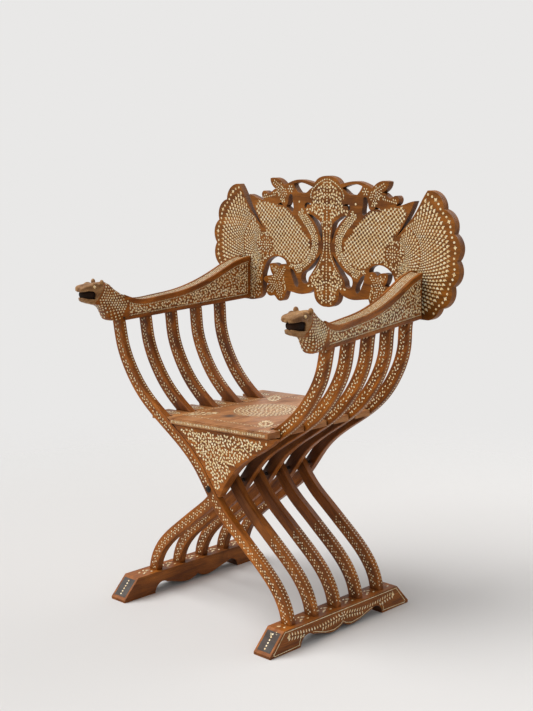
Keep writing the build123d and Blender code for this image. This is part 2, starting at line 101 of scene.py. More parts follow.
def add_node(tree, kind, settings=None, links=None):
    """A shader node with its settings, which are properties or sockets, and what feeds its sockets. Sockets
    that share a name go by number: 1 to 4 of a MapRange are the range that comes in and the range that goes
    out, and 0, 6 and 7 of a colour Mix are the share and the two colours."""
    made = tree.nodes.new("ShaderNode" + kind)
    for key, value in (settings or {}).items():
        if key == "stops":
            elements = made.color_ramp.elements
            while len(elements) < len(value):
                elements.new(1.0)
            for element, (place, tone) in zip(elements, value):
                element.position = place
                element.color = tone
        elif isinstance(key, str) and hasattr(made, key):
            setattr(made, key, value)
        else:
            made.inputs[key].default_value = value
    for key, source in (links or {}).items():
        tree.links.new(source, made.inputs[key])
    return made


def blank_material(name):
    """A new material, its node tree and the place on the object, in metres."""
    material = bpy.data.materials.new(name)
    material.use_nodes = True
    tree = material.node_tree
    tree.nodes.clear()
    return material, tree, add_node(tree, "TexCoord").outputs["Object"]


def finished(material, shader):
    add_node(material.node_tree, "OutputMaterial", links={"Surface": shader.outputs["BSDF"]})
    return material


def waxed_wood(name, tones, grain, band=16.0, roughness=(0.36, 0.56), worn="c98f4e", round_edge=1.0,
               stains=()):
    """Walnut, sawn, scraped and waxed by hand: warm streaks along the grain, fine dark pores, soft rubbed
    edges, a satin shine that grime dulls, and painted shade: the colour goes near black brown where other
    parts come near, in recesses, under the seat and between the slats. tones are its dark, middle and light
    streaks, band is the width of a streak, worn is its rubbed edges' colour, and round_edge is how far they
    are rubbed. A stain is (place, reach, strength). Lengths are in mm."""
    material, tree, place = blank_material(name)
    turn = Z.rotation_difference(Vector(grain)).to_euler()

    def streaks(width, stretch, detail, distortion):
        size = (width * MM, width * MM, width * MM * stretch)
        laid = add_node(tree, "Mapping",
                        {"vector_type": "TEXTURE", "Rotation": turn, "Scale": size}, {"Vector": place})
        return add_node(tree, "TexNoise",
                        {"Scale": 1.0, "Detail": detail, "Roughness": 0.55, "Distortion": distortion},
                        {"Vector": laid.outputs["Vector"]}).outputs["Fac"]

    bands = streaks(band, 9.0, 4.0, 0.5)
    fibres = streaks(0.8, 26.0, 2.0, 0.0)
    grime = add_node(tree, "TexNoise", {"Scale": 1 / (70 * MM), "Detail": 3.0, "Roughness": 0.6},
                     {"Vector": place}).outputs["Fac"]
    dark, middle, light = (colour(tone) for tone in tones)
    tone = add_node(tree, "ValToRGB", {"stops": [(0.28, dark), (0.5, middle), (0.74, light)]},
                    {"Fac": bands}).outputs["Color"]
    pores = add_node(tree, "MapRange", {1: 0.36, 2: 0.6, 3: 0.62, 4: 1.06}, {0: fibres}).outputs[0]
    tone = add_node(tree, "Mix", {"data_type": "RGBA", "blend_type": "MULTIPLY", 0: 1.0},
                    {6: tone, 7: pores}).outputs[2]

    # what lies over the wood's own colour, from the bottom up: (share, colour); dirt, painted shade, stains
    # and rubbed edges
    dirty = add_node(tree, "MapRange", {1: 0.50, 2: 0.72, 3: 0.0, 4: 0.45}, {0: grime}).outputs[0]
    # painted shade: ambient occlusion within 240 mm darkens the wood's colour towards 260f08 in recesses,
    # under parts and between them
    occlusion = add_node(tree, "AmbientOcclusion", {"samples": 6, "Distance": 240 * MM})
    painted_shade = add_node(tree, "MapRange", {1: 0.16, 2: 0.70, 3: 0.88, 4: 0.0},
                      {0: occlusion.outputs["AO"]}).outputs[0]
    covers = [(dirty, "4a2b16"), (painted_shade, "260f08")]
    for (x, y, z), reach, strength in stains:
        away = add_node(tree, "VectorMath", {"operation": "DISTANCE", 1: (x * MM, y * MM, z * MM)},
                        {0: place}).outputs["Value"]
        ragged = add_node(tree, "Math", {"operation": "MULTIPLY_ADD", 1: reach * MM * 0.9},
                          {0: grime, 2: away}).outputs[0]
        spot = add_node(tree, "MapRange",
                        {1: reach * MM * 0.7, 2: reach * MM * 1.4, 3: strength, 4: 0.0},
                        {0: ragged}).outputs[0]
        covers.append((spot, "38302a"))
    eased = add_node(tree, "Bevel", {"samples": 4, "Radius": round_edge * MM}).outputs["Normal"]
    flat = add_node(tree, "NewGeometry").outputs["Normal"]
    agree = add_node(tree, "VectorMath", {"operation": "DOT_PRODUCT"},
                     {0: eased, 1: flat}).outputs["Value"]
    rubbed = add_node(tree, "MapRange", {1: 0.99, 2: 0.80, 3: 0.0, 4: 0.6}, {0: agree}).outputs[0]
    covers.append((rubbed, worn))
    for share, code in covers:
        tone = add_node(tree, "Mix", {"data_type": "RGBA", 7: colour(code)},
                        {0: share, 6: tone}).outputs[2]

    gloss = add_node(tree, "MapRange", {1: 0.3, 2: 0.7, 3: roughness[0], 4: roughness[1]},
                     {0: grime}).outputs[0]
    relief = add_node(tree, "Bump", {"Strength": 0.35, "Distance": 0.2 * MM},
                      {"Height": fibres, "Normal": eased}).outputs["Normal"]
    shader = add_node(tree, "BsdfPrincipled", {"IOR": 1.5, "Specular IOR Level": 0.22},
                      {"Base Color": tone, "Roughness": gloss, "Normal": relief})
    return finished(material, shader)


def polished_bone():
    """Camel bone, sawn thin, scraped flush and waxed: cream, each chip a little different, some yellowed."""
    material, tree, place = blank_material("polished_bone")
    cell = add_node(tree, "TexVoronoi", {"Scale": 1 / (3.5 * MM)}, {"Vector": place})
    pick = add_node(tree, "SeparateColor", links={"Color": cell.outputs["Color"]}).outputs["Red"]
    stops = [(0.0, colour("cfa468")), (0.25, colour("ecca90")), (0.6, colour("fbe1ae")),
             (1.0, colour("fff3d2"))]
    tone = add_node(tree, "ValToRGB", {"stops": stops}, {"Fac": pick}).outputs["Color"]
    shader = add_node(tree, "BsdfPrincipled",
                      {"Roughness": 0.36, "IOR": 1.54, "Specular IOR Level": 0.35}, {"Base Color": tone})
    return finished(material, shader)


def inlay_mastic():
    """Glue darkened with charcoal that fills the cuts round the chips: a dull, near black brown line."""
    material, tree, place = blank_material("inlay_mastic")
    fleck = add_node(tree, "TexNoise", {"Scale": 1 / (2 * MM), "Detail": 2.0}, {"Vector": place})
    stops = [(0.3, colour("1c0f06")), (0.7, colour("3a200c"))]
    tone = add_node(tree, "ValToRGB", {"stops": stops},
                    {"Fac": fleck.outputs["Fac"]}).outputs["Color"]
    shader = add_node(tree, "BsdfPrincipled", {"Roughness": 0.62, "IOR": 1.5}, {"Base Color": tone})
    return finished(material, shader)


def scaled_iron():
    """Hand-forged iron rod with its dark scale and a little rust."""
    material, tree, place = blank_material("scaled_iron")
    scale = add_node(tree, "TexNoise", {"Scale": 1 / (5 * MM), "Detail": 5.0}, {"Vector": place})
    stops = [(0.35, colour("25211f")), (0.62, colour("3b302a")), (0.8, colour("5b3a26"))]
    tone = add_node(tree, "ValToRGB", {"stops": stops},
                    {"Fac": scale.outputs["Fac"]}).outputs["Color"]
    relief = add_node(tree, "Bump", {"Strength": 0.4, "Distance": 0.3 * MM},
                      {"Height": scale.outputs["Fac"]}).outputs["Normal"]
    shader = add_node(tree, "BsdfPrincipled", {"Metallic": 0.7, "Roughness": 0.58},
                      {"Base Color": tone, "Normal": relief})
    return finished(material, shader)


def matt_floor_paint():
    """Matt pale paint that only takes the chair's soft shadow; the floor thins out well away from the chair,
    so that it ends without an edge."""
    material, tree, place = blank_material("matt_floor_paint")
    away = add_node(tree, "VectorMath", {"operation": "LENGTH"}, {0: place}).outputs["Value"]
    shown = add_node(tree, "MapRange",
                     {"interpolation_type": "SMOOTHSTEP", 1: 0.7, 2: 2.2, 3: 1.0, 4: 0.0},
                     {0: away}).outputs[0]
    shader = add_node(tree, "BsdfPrincipled", {"Base Color": colour("dedcda"), "Roughness": 0.8},
                      {"Alpha": shown})
    return finished(material, shader)


WARM = ("6a3608", "985414", "bf7024")
BOARD_TONES = ("63340a", "905416", "b46d28")
SEAT_TONES = ("92572a", "b97a46", "d3965e")
HANDLED_TONES = ("6e4525", "a87a4b", "cc9f6c")
SEAT_STAINS = [((-25, -62, 459), 27, 0.95), ((-110, -30, 455), 15, 0.7), ((60, 111, 462), 20, 0.25)]
WALNUT_LEFT_SLATS = waxed_wood("waxed_walnut_left_slats", WARM, (0.7, 0, -0.7))
WALNUT_RIGHT_SLATS = waxed_wood("waxed_walnut_right_slats", WARM, (0.7, 0, 0.7))
WALNUT_RAILS = waxed_wood("waxed_walnut_rails", WARM, (0, 1, 0))
WALNUT_BOARD = waxed_wood("waxed_walnut_board", BOARD_TONES, (1, 0, 0), band=22)
WALNUT_SEAT = waxed_wood("worn_walnut_seat", SEAT_TONES, (0, 1, 0), band=26, roughness=(0.30, 0.5),
                         worn="b98d62", stains=SEAT_STAINS)
WALNUT_APRON = waxed_wood("waxed_walnut_apron", WARM, (1, 0, 0))
WALNUT_ARMS = waxed_wood("waxed_walnut_arms", WARM, (0, 1, 0.2))
WALNUT_HEADS = waxed_wood("handled_walnut", HANDLED_TONES, (0, 1, 0.2), band=18, worn="cfa878")
WALNUT_HIDDEN = waxed_wood("oiled_walnut", ("482405", "6c3c10", "8a541c"), (0, 0, 1), worn="7d4e25")
# painted shade: a near black walnut for the ball that fills the open mouth and stands for the shade in its
# hollow
MOUTH_SHADE = waxed_wood("mouth_painted_shade", ("0a0603", "120b06", "1a110a"), (0, 1, 0), roughness=(0.85, 0.95),
                   worn="1a110a")
DARK_ENDS = waxed_wood("ebonised_walnut", ("2c2723", "423a34", "5a5049"), (0, 0, 1), worn="6b5a49")
PEG_GRAIN = waxed_wood("peg_end_grain", ("20130c", "2e1b10", "3d2415"), (0, 0, 1), worn="4a2d18",
                       round_edge=0.4)
BONE = polished_bone()
MASTIC = inlay_mastic()
IRON = scaled_iron()


def dress(node, material):
    """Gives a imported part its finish."""
    data = NODES[node].data
    data.materials.clear()
    data.materials.append(material)


# ---------------------------------------------------------------- making pieces
def stand(name, data):
    """A new object in the scene."""
    made = bpy.data.objects.new(name, data)
    bpy.context.scene.collection.objects.link(made)
    return made


def place_piece(name, data, body, materials):
    """A new piece of the chair with its materials and the body that it moves with."""
    made = stand(name, data)
    for material in materials:
        data.materials.append(material)
    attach(made, body)
    return made


class Surface:
    """The outside of a part, for finding where a chip lies on it. Points are in mm."""

    def __init__(self, shape):
        view = shape.evaluated_get(bpy.context.evaluated_depsgraph_get())
        data = view.to_mesh()
        points = [shape.matrix_world @ vertex.co / MM for vertex in data.vertices]
        self.tree = BVHTree.FromPolygons(points, [face.vertices[:] for face in data.polygons])
        view.to_mesh_clear()

    def meet(self, start, look):
        """Where a line of sight meets the part, and the way that the part faces there."""
        place, facing, _, _ = self.tree.ray_cast(start, look)
        if place is None:
            return None
        return place, (facing if facing.dot(look) < 0 else -facing)


def round_chip(radius, sides=6):
    turn = 2 * math.pi / sides
    return [polar(turn * i, radius) for i in range(sides)]


def leaf_chip(length, width):
    """Pointed at both ends and fuller behind its middle."""
    long, half = length / 2, width / 2
    return [(long, 0), (long * 0.2, half * 0.8), (-long * 0.45, half), (-long, 0),
            (-long * 0.45, -half), (long * 0.2, -half * 0.8)]


def bar_chip(length, width):
    long, half = length / 2, width / 2
    return [(long, half), (-long, half), (-long, -half), (long, -half)]


def comma_chip(length, width):
    """A leaf that bends to one side."""
    long, half = length / 2, width / 2
    return [(long, -half * 0.7), (long * 0.25, half * 0.9), (-long * 0.5, half), (-long, 0),
            (-long * 0.55, -half * 0.9), (long * 0.1, -half * 0.5)]


def mirrored(outline):
    """The outline flipped over its length, still told off anticlockwise."""
    return [(p, -q) for p, q in reversed(outline)]


def star_chip(radius):
    return [polar(math.pi * i / 4, radius if i % 2 == 0 else radius * 0.52) for i in range(8)]


def widened(outline, grow):
    """The outline moved outwards all round by the same width."""
    moved = []
    for i, (p, q) in enumerate(outline):
        (p0, q0), (p1, q1) = outline[i - 1], outline[(i + 1) % len(outline)]
        before, after = Vector((q - q0, p0 - p)).normalized(), Vector((q1 - q, p - p1)).normalized()
        corner = before + after
        corner *= grow / max(0.35, corner.dot(before))
        moved.append((p + corner.x, q + corner.y))
    return moved


def lay(surface, sight, marks, margin=0.6, sag=0.45):
    """Turns a drawn pattern into chips. A mark is (a, b, angle, outline) in mm on the drawing, and sight(a,
    b) is the line of sight through that point of the drawing. Marks that would come nearer to an edge than
    margin, or lie over a step deeper than sag, are left out."""
    chips = []
    for a, b, angle, outline in marks:
        start, look = sight(a, b)
        met = surface.meet(start, look)
        if met is None:
            continue
        place, facing = met
        cosine, sine = polar(angle)
        rim = (surface.meet(*sight(a + p * cosine - q * sine, b + p * sine + q * cosine))
               for p, q in widened(outline, margin + MASTIC_RIM))
        if all(corner and abs((corner[0] - place).dot(facing)) <= sag for corner in rim):
            ahead, _ = sight(a + cosine, b + sine)
            along = ahead - start
            along -= facing * along.dot(facing)
            chips.append((place, facing, along.normalized(), outline))
    return chips


def set_chips(name, body, chips, face=BONE):
    """One mesh of all chips of a part: each has a face and sloping mastic sides that reach into the wood."""
    vertices, faces, kinds = [], [], []
    for place, facing, along, outline in chips:
        across = facing.cross(along)
        first, count = len(vertices), len(outline)
        for loop, lift in ((widened(outline, MASTIC_RIM), -CHIP_ROOT), (outline, CHIP_PROUD)):
            for p, q in loop:
                vertices.append((place + along * p + across * q + facing * lift) * MM)
        for i in range(count):
            j = (i + 1) % count
            faces.append((first + i, first + j, first + count + j, first + count + i))
            kinds.append(1)
        faces.append(tuple(range(first + count, first + 2 * count)))
        kinds.append(0)
        faces.append(tuple(reversed(range(first, first + count))))
        kinds.append(1)
    data = bpy.data.meshes.new(name)
    data.from_pydata(vertices, [], faces)
    made = place_piece(name, data, body, [face, MASTIC])
    data.polygons.foreach_set("material_index", kinds)
    return made


def inside(outline, a, b):
    """Whether a point of the drawing lies inside a closed outline."""
    hit = False
    for (a0, b0), (a1, b1) in zip(outline, outline[1:] + outline[:1]):
        if (b0 > b) != (b1 > b) and a < a0 + (b - b0) * (a1 - a0) / (b1 - b0):
            hit = not hit
    return hit


def walk(points, pitch, offset=0.0, start=0.0):
    """Steps of one pitch along a drawn line, as (a, b, angle), each moved to the line's left by an offset."""
    steps, spent, due = [], 0.0, start
    for (a0, b0), (a1, b1) in zip(points, points[1:]):
        length = math.hypot(a1 - a0, b1 - b0)
        angle = math.atan2(b1 - b0, a1 - a0)
        while due <= spent + length:
            share = (due - spent) / length
            steps.append((a0 + (a1 - a0) * share - math.sin(angle) * offset,
                          b0 + (b1 - b0) * share + math.cos(angle) * offset, angle))
            due += pitch
        spent += length
    return steps


def spaced(marks, gap):
    """Leaves out each mark that lies closer than the gap to one before it."""
    kept, cells = [], {}
    for mark in marks:
        column, row = int(mark[0] // gap), int(mark[1] // gap)
        near = [other for i in (-1, 0, 1) for j in (-1, 0, 1)
                for other in cells.get((column + i, row + j), [])]
        if all(math.dist(mark[:2], other[:2]) >= gap for other in near):
            kept.append(mark)
            cells.setdefault((column, row), []).append(mark)
    return kept


def arabesque(outline, pitch, size, seed):
    """Dense leafwork: chips one pitch apart that turn with slow curls, so that they read as winding stems."""
    chance = random.Random(seed)
    low_a, high_a = min(a for a, _ in outline), max(a for a, _ in outline)
    low_b, high_b = min(b for _, b in outline), max(b for _, b in outline)
    marks = []
    for _ in range(int((high_a - low_a) * (high_b - low_b) / pitch ** 2 * TRIES)):
        a, b = chance.uniform(low_a, high_a), chance.uniform(low_b, high_b)
        if inside(outline, a, b):
            curl = 4 * math.pi * noise.noise(Vector((a, b, seed)) / (4.5 * pitch))
            leaf = comma_chip(size * chance.uniform(0.9, 1.15), size * 0.6)
            marks.append((a, b, curl, round_chip(size * 0.36) if chance.random() < 0.2 else leaf))
    return spaced(marks, pitch * 0.86)


def feathered(points, offsets, pitch, size):
    """Rows of slanting chips along a line, leaning to and fro from row to row."""
    marks = []
    for number, offset in enumerate(offsets):
        lean = 0.8 if number % 2 else -0.8
        for a, b, angle in walk(points, pitch, offset, start=pitch * (0.5 + 0.5 * (number % 2))):
            marks.append((a, b, angle + lean, leaf_chip(size, size * 0.55)))
    return marks


def ring(middle_a, middle_b, radius, count, outline, tilt=0.0):
    """Marks round a circle, each turned along it, or by a tilt away from that."""
    marks = []
    for i in range(count):
        p, q = polar(2 * math.pi * i / count, radius)
        marks.append((middle_a + p, middle_b + q, math.atan2(p, -q) + tilt, outline))
    return marks


def rosette(a, b, rings):
    """Rings of chips round a dot; each ring is (radius, how many, outline, tilt from the ring's own line)."""
    marks = [(a, b, 0.0, round_chip(2.4, 8))]
    for radius, count, outline, tilt in rings:
        marks += ring(a, b, radius, count, outline, tilt)
    return marks


# ---------------------------------------------------------------- slats
class Run:
    """A line through points in an upright plane, told off by its length in mm. It runs on straight past its
    ends."""

    def __init__(self, points):
        self.points = points
        self.reach = [0.0]
        for (x0, z0), (x1, z1) in zip(points, points[1:]):
            self.reach.append(self.reach[-1] + math.hypot(x1 - x0, z1 - z0))
        self.length = self.reach[-1]

    def at(self, distance):
        """Place, and the direction in which the line runs on."""
        index = min(max(bisect.bisect_left(self.reach, distance), 1), len(self.reach) - 1)
        (x0, z0), (x1, z1) = self.points[index - 1], self.points[index]
        share = (distance - self.reach[index - 1]) / (self.reach[index] - self.reach[index - 1])
        along = Vector((x1 - x0, 0, z1 - z0)).normalized()
        return Vector((x0 + (x1 - x0) * share, 0, z0 + (z1 - z0) * share)), along

    def passing(self, height):
        """How far along the line it first comes below a height."""
        return next(reach for reach, (_, z) in zip(self.reach, self.points) if z < height)


class Rail(Run):
    """The middle line of a slat, from under the arm down to the foot."""

    def __init__(self, surface, node):
        low, high = corners(node)
        self.front, self.middle = low[1], centre(node)[1]
        top, count = high[2] - TENON - 4.0, 90
        points = []
        for step in range(count + 1):
            height = top + (FOOT_TOP - top) * step / count
            left, _ = surface.meet(Vector((-500, self.middle, height)), X)
            right, _ = surface.meet(Vector((500, self.middle, height)), -X)
            points.append(((left.x + right.x) / 2, height))
        super().__init__(points)

    def front_sight(self, a, b):
        place, along = self.at(a)
        aside = Vector((-along.z, 0, along.x))
        return place + aside * b + Y * (self.front - STAND_OFF), Y

    def edge_sight(self, side):
        """Sight at the slat's narrow side that faces +X (side 1) or -X (side -1); b runs to the back."""
        def sight(a, b):
            place, along = self.at(a)
            aside = Vector((-along.z, 0, along.x)) * side
            return place + aside * 2 * STAND_OFF + Y * (self.middle - b * side), -aside
        return sight


def vine(first, last, swing=5.2, wave=26.0, seed=0):
    """A wavy stem of chips with a leaf and a dot in each bend, from one distance to another."""
    chance = random.Random(seed)
    marks, a = [], first
    while a < last:
        phase = 2 * math.pi * a / wave
        b = swing * math.sin(phase)
        slope = math.atan(swing * 2 * math.pi / wave * math.cos(phase))
        marks.append((a, b, slope, leaf_chip(5.8, 3.2)))
        if abs(math.sin(phase)) > 0.6:
            side = math.copysign(1, b)
            lean = slope + side * chance.uniform(0.4, 0.9)
            marks.append((a + 2.5, b - side * 8.2, lean, comma_chip(6.4, 3.6)))
        a += 6.0
    return spaced(marks, 4.6)


def zigzag(first, last, swing=5.0, pitch=8.2):
    """Round dots to and fro, with leaves between them."""
    marks, a, turn = [], first, 1
    while a < last:
        marks.append((a, swing * turn, 0.0, round_chip(2.0, 8)))
        marks.append((a + pitch / 2, 0.0, 0.7 * turn, leaf_chip(5.0, 2.7)))
        a += pitch
        turn = -turn
    return marks


DOT_PITCH = 7.4                  # along the rows on the slats' edges
PAIR = 4.4                       # where two rows run side by side, each is this far off the middle


def dot_row(first, last, offset, radius=1.7):
    count = int((last - first) / DOT_PITCH)
    return [(first + i * DOT_PITCH, offset, 0.0, round_chip(radius)) for i in range(count + 1)]


SLAT_START = 8.0                 # a slat's inlay begins this far below the arm
SLAT_END = 7.0                   # and ends this far above the foot
PLAIN_DROP = 108.0               # under the crossing the slats stay plain for this height


def inlay_slats():
    """Vines down the fronts above the seat, zigzags below the crossing, and rows of dots on the edges."""
    for letter, body, wood in (("a", "frame_a", WALNUT_LEFT_SLATS), ("b", "frame_b", WALNUT_RIGHT_SLATS)):
        for number in range(1, SLATS + 1):
            node = f"slat_{letter}{number}"
            dress(node, wood)
            surface = Surface(NODES[node])
            rail = Rail(surface, node)
            seat, cross = rail.passing(SEAT_HIGH[2] + 4), rail.passing(PIVOT)
            low, end = rail.passing(PIVOT - PLAIN_DROP), rail.length - SLAT_END
            front = vine(SLAT_START, seat - 6, seed=number)
            front += zigzag(low if number > 1 else cross + 12, end)
            if number == 1:
                front += vine(seat + 2, cross - 16, seed=11)
            pair = dot_row(low, end, PAIR) + dot_row(low + DOT_PITCH / 2, end, -PAIR)
            if letter == "a":
                right = dot_row(SLAT_START, seat - 10, -3.0, radius=2.3) + pair
                left = dot_row(SLAT_START, seat - 10, 0.0)
            else:
                right = dot_row(SLAT_START, seat + 12, 0.0, radius=2.3)
                left = pair
            chips = lay(surface, rail.front_sight, front)
            chips += lay(surface, rail.edge_sight(1), right)
            chips += lay(surface, rail.edge_sight(-1), left)
            set_chips(f"{node}_inlay", body, chips)


# ---------------------------------------------------------------- feet
SLOPE_IN, SLOPE_UP = 22.0, 28.0  # middle of a foot's sloping end, from its tip and from the floor
SLOPE_LENGTH = 47.0
INSET = 4.0                      # the border on a foot's outer face runs this far inside the foot's outline
PAD = 96.0                       # length of the flat that the foot stands on at each end
# the underside between a pad and the middle: (distance from the pad, height), then (distance from the middle,
# height)
ARCH = [(12, 21), (28, 20), (44, 19)]
LOBE = [(60, 8), (30, 5), (10, 10), (0, 16)]


def foot_border(middle, half):
    """The line that follows the foot's outline on the inside: over the top and under the lobes."""
    upper = [(middle - half + 12, 4 + INSET), (middle - half + 46, FOOT_TOP - INSET),
             (middle + half - 46, FOOT_TOP - INSET), (middle + half - 12, 4 + INSET)]
    pad = half - PAD
    under = [(pad + INSET, INSET + 2), (pad + INSET, 12), (pad, 22)]
    under += [(pad - distance, height + INSET) for distance, height in ARCH]
    under += [(distance, height + INSET) for distance, height in LOBE]
    right = [(middle + distance, height) for distance, height in under]
    left = [(2 * middle - y, height) for y, height in reversed(right)]
    return upper + [(middle + half - 14, INSET)] + right + left[1:] + [(middle - half + 14, INSET), upper[0]]


def inlay_feet():
    """A fishbone and a border on each outer face, leaves between the slats, and a dark facing on each end."""
    for node, body, side in (("foot_right", "frame_a", 1), ("foot_left", "frame_b", -1)):
        dress(node, WALNUT_RAILS)
        surface = Surface(NODES[node])
        low, high = corners(node)
        middle_x, middle_y, _ = centre(node)

        def outer_sight(a, b):
            return Vector((middle_x + side * (FOOT_WIDTH / 2 + STAND_OFF), a, b)), -X * side

        def top_sight(a, b):
            return Vector((middle_x + b, a, FOOT_TOP + STAND_OFF)), -Z

        def slope_sight(way):
            """Sight at the sloping end at the front (way 1) or at the rear (way -1); a runs up the slope."""
            tip = low[1] if way > 0 else high[1]

            def sight(a, b):
                middle = Vector((middle_x + b, tip + way * SLOPE_IN, SLOPE_UP))
                place = middle + Vector((0, way, 1)).normalized() * a
                return place + Vector((0, -way, 1)) * 3 * STAND_OFF, Vector((0, way, -1)).normalized()
            return sight

        border = walk(foot_border(middle_y, (high[1] - low[1]) / 2), 6.4)
        marks = [(a, b, angle, bar_chip(6.4, 1.4)) for a, b, angle in border]
        for way in (-1, 1):
            # a slow wave from the middle to the end
            stem = [(middle_y + way * a, 30.0 + 4.5 * math.cos(a / 34 + 0.6)) for a in range(14, 182, 4)]
            for a, b, angle in walk(stem, 9.0):
                for leaf in (-1, 1):
                    marks.append((a, b + leaf * 5.2, angle + leaf * 1.15 * way, leaf_chip(9.6, 3.6)))
            marks.append((*stem[-1], 0.0, star_chip(5.2)))
        marks += rosette(middle_y, 33.0, [(7.5, 6, leaf_chip(6.4, 3.2), math.pi / 2)])
        chips = lay(surface, outer_sight, marks, margin=0.1)

        top = []
        for gap in range(SLATS + 1):
            middle = FIRST_SLAT + (gap - (0.5 if side > 0 else 0.0)) * SLAT_PITCH
            for turn in (-1, 0, 1):
                sway = -1 if turn else 1
                top.append((middle + turn * 12, 4.0 * sway, 0.5 * turn, leaf_chip(11.0, 5.4)))
                top.append((middle + turn * 12 + 4, -8.5 * sway, -0.4, leaf_chip(9.0, 4.6)))
        chips += lay(surface, top_sight, top)

        for way, word in ((1, "front"), (-1, "rear")):
            sight = slope_sight(way)
            slope = bar_chip(SLOPE_LENGTH, FOOT_WIDTH - 11)
            facing = lay(surface, sight, [(0.0, 0.0, 0.0, slope)], margin=0.1)
            panel = set_chips(f"{node}_facing_{word}", body, facing, face=DARK_ENDS)
            dots = [(-17.5 + 7.0 * i, 0.0, 0.0, round_chip(2.1, 8)) for i in range(6)]
            chips += lay(Surface(panel), sight, dots)
        set_chips(f"{node}_inlay", body, chips)


# ---------------------------------------------------------------- seat and apron
BORDER_LEFT, BORDER_RIGHT = -126.0, 138.0
BORDER_FRONT, BORDER_BACK = SEAT_LOW[1] + 41.0, SEAT_HIGH[1] - 38.0
MEDALLION = (-6.0, (BORDER_FRONT + BORDER_BACK) / 2 - 4.0)
# radius, how many chips, and their tilt
MEDALLION_RINGS = [(66, 40, 0.8), (56, 34, -0.7), (46, 28, 0.7), (36, 22, -0.7), (26, 16, 0.7)]
LEFT_FINGERS, RIGHT_FINGERS = -146.0, 150.0    # where the palmettes on the seat's fingers start


def seat_sight(a, b):
    return Vector((a, b, SEAT_HIGH[2] + STAND_OFF)), -Z


def palmette(a, b, heading, size=1.0):
    """A spray of petals that opens out from its foot at (a, b) and closes again."""
    ahead = Vector(polar(heading))
    aside = Vector((-ahead.y, ahead.x))
    marks = [(a, b, 0.0, round_chip(3.4 * size, 8))]
    for step, spread in enumerate((6.5, 12.0, 13.5, 10.0, 5.5)):
        for side in (-1, 1):
            place = Vector((a, b)) + (ahead * (9 + 13 * step) + aside * side * spread) * size
            marks.append((place.x, place.y, heading + side * 0.6, leaf_chip(14.5 * size, 8.6 * size)))
        middle = Vector((a, b)) + ahead * (15 + 13 * step) * size
        marks.append((middle.x, middle.y, heading, leaf_chip(11.0 * size, 6.4 * size)))
    return marks


def inlay_seat():
    """A round medallion in a border, palmettes in the corners and on the fingers, beads along the front."""
    dress("seat_board", WALNUT_SEAT)
    dress("seat_front_moulding", WALNUT_SEAT)
    surface = Surface(NODES["seat_board"])
    turns = [(BORDER_LEFT, BORDER_FRONT), (BORDER_RIGHT, BORDER_FRONT), (BORDER_RIGHT, BORDER_BACK),
             (BORDER_LEFT, BORDER_BACK)]
    marks = [(a, b, angle, leaf_chip(9.0, 3.8)) for a, b, angle in walk(turns + turns[:1], 10.5)]
    marks += ring(*MEDALLION, 75, 48, bar_chip(7.6, 3.2))
    for radius, count, tilt in MEDALLION_RINGS:
        marks += ring(*MEDALLION, radius, count, comma_chip(11.0, 6.2), tilt)
    marks += rosette(*MEDALLION, [(13.0, 8, leaf_chip(12.0, 6.0), math.pi / 2)])
    for a, b in turns:
        heading = math.atan2(MEDALLION[1] - b, MEDALLION[0] - a)
        p, q = polar(heading, 12)
        marks += palmette(a + p, b + q, heading)
    for number in range(SLATS):
        finger = FIRST_SLAT + SLAT_PITCH * number
        marks += palmette(LEFT_FINGERS, finger + SLAT_PITCH / 2, math.pi, 0.62)
        marks += palmette(RIGHT_FINGERS, finger, 0.0, 0.55)
    set_chips("seat_inlay", "seat", lay(surface, seat_sight, marks))

    strip = Surface(NODES["seat_front_moulding"])
    low, high = corners("seat_front_moulding")
    middle_x, _, middle_z = centre("seat_front_moulding")

    def strip_sight(a, b):
        height = middle_z + (a - middle_x) * math.tan(SEAT_TILT) + b
        return Vector((a, low[1] - STAND_OFF, height)), Y

    pitch = 4.9
    count = int((high[0] - low[0] - 8) / pitch)
    beads = [(low[0] + 6 + pitch * i, 0.0, math.pi / 2, bar_chip(5.8, 2.2)) for i in range(count)]
    set_chips("moulding_inlay", "seat", lay(strip, strip_sight, beads, margin=0.1))


def inlay_apron():
    """Leafwork all over the front panel, up to a plain edge."""
    dress("seat_apron", WALNUT_APRON)
    dress("apron_blocks", WALNUT_HIDDEN)
    surface = Surface(NODES["seat_apron"])
    low, high = corners("seat_apron")

    def sight(a, b):
        return Vector((a, low[1] - STAND_OFF, b)), Y

    panel = [(low[0] - 5, low[2]), (high[0], low[2]), (high[0], high[2] + 5), (low[0] - 5, high[2] + 5)]
    chips = lay(surface, sight, arabesque(panel, 7.0, 8.4, seed=3), margin=2.4)
    set_chips("apron_inlay", "seat", chips)


# ---------------------------------------------------------------- back board
FAN = (205.0, 818.0)             # where the fan's rays start
EYE = (200, 818)                 # middle of the rosette that covers their start
EYE_RADIUS = 23
FAN_NOTCHES = 173.0              # radius of the notches between the fan's scallops
FIRST_RAY = math.radians(64)
FAN_SWEEP = math.radians(140)
SCALLOP = math.radians(20)
FIRST_NOTCH = math.radians(58.5)
GRID_START = (130, 770)          # a crossing of the grid on the bird's body
GRID_TURN = math.radians(38)
GRID_ROWS, GRID_COLUMNS = range(-8, 34), range(-34, 22)    # as many as cover the body
